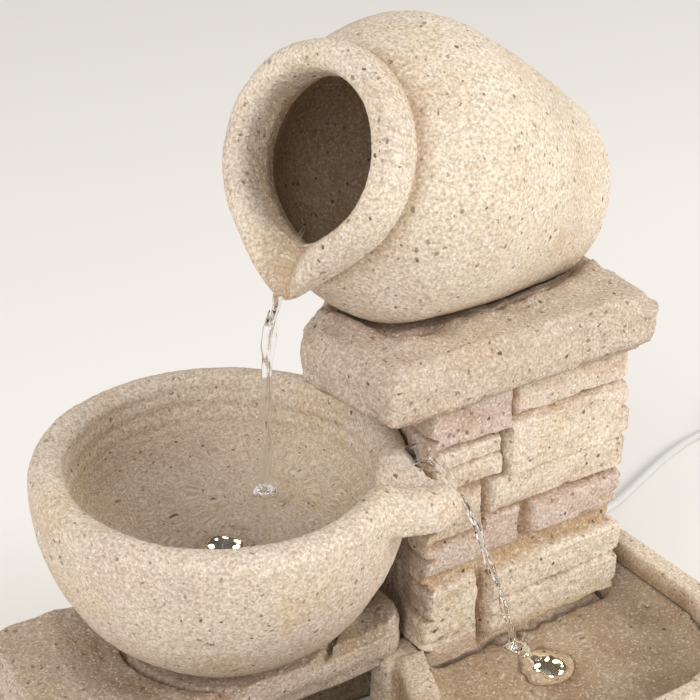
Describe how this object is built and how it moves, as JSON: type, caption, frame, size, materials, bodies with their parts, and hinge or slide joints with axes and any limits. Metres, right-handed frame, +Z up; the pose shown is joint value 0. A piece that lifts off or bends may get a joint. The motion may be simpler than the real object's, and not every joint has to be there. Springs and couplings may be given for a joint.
{
  "type": "tabletop water fountain",
  "caption": "Tabletop fountain: a tilted jug on a stacked-stone column pours into a spouted bowl, which pours into a basin; a pump inside lifts the water back.",
  "frame": {"origin": "on the table, under the middle of the box round the fountain, cord left out", "axes": "+X to the right along the column's front face, +Y to the back, +Z up"},
  "size_m": [0.507, 0.216, 0.2873],
  "materials": {
    "jug_stone": "cast stone-filled resin, fine speckle, matt",
    "bowl_stone": "cast stone-filled resin, fine speckle, matt",
    "slab_stone": "cast resin slab with a rough split-rock skin, matt",
    "ledge_stone": "cast resin ledge stones, cream and mauve courses, matt",
    "basin_stone": "cast stone-filled resin, ochre in the wet hollows, matt",
    "magnet_steel": "nickel-plated disc magnet",
    "foot_rubber": "soft black pad",
    "pump_plastic": "fine moulded black plastic",
    "rotor_plastic": "white moulded plastic over a ferrite magnet",
    "ceramic": "ground white ceramic shaft",
    "knob_plastic": "moulded dark grey plastic",
    "cup_rubber": "soft black rubber",
    "hose_vinyl": "clear vinyl tube",
    "light_plastic": "white moulded puck",
    "light_lens": "clear faceted lens over warm white diodes",
    "cord_vinyl": "clear-jacketed low-voltage twin cord",
    "tie_plastic": "black twist tie",
    "adaptor_plastic": "white moulded adaptor",
    "pin_metal": "nickel-plated pins",
    "water": "clear water, in the running fountain only"
  },
  "bodies": {
    "root": {"basin": "basin_stone", "column": "ledge_stone", "shelf_slab": "slab_stone", "cap_slab": "slab_stone", "bowl": "bowl_stone", "jug": "jug_stone", "column_magnets": "magnet_steel", "feet": "foot_rubber", "pump_housing": "pump_plastic", "pump_volute": "pump_plastic", "pump_cover": "pump_plastic", "rotor_shaft": "ceramic", "suction_cups": "cup_rubber", "riser_hose": "hose_vinyl", "hose_grommet": "cup_rubber", "bowl_light": "light_plastic", "bowl_light_lens": "light_lens", "tray_light": "light_plastic", "tray_light_lens": "light_lens", "light_leads": "cord_vinyl", "pump_lead": "pump_plastic", "lead_joiner": "pump_plastic", "cord_gland": "cord_vinyl", "cord_inner": "cord_vinyl", "cord_lead": "cord_vinyl", "cord_coil": "cord_vinyl", "cord_tail": "cord_vinyl", "cord_tie": "tie_plastic", "adaptor": "adaptor_plastic", "adaptor_pins": "pin_metal"},
    "rotor": {"rotor": "rotor_plastic"},
    "flow_knob": {"flow_knob": "knob_plastic"},
    "rear_door": {"rear_door": "basin_stone", "door_magnets": "magnet_steel"}
  },
  "joints": [
    {"name": "door_pull", "type": "slide", "parent": "root", "child": "rear_door", "axis": [0, 1, 0], "range_m": [0, 0.04]},
    {"name": "rotor_spin", "type": "hinge", "parent": "root", "child": "rotor", "pos_m": [0.052, 0.0272, 0.026], "axis": [1, 0, 0], "continuous": true},
    {"name": "flow_turn", "type": "hinge", "parent": "root", "child": "flow_knob", "pos_m": [0.0345, 0.0342, 0.033], "axis": [1, 0, 0], "range_deg": [0, 90]}
  ]
}
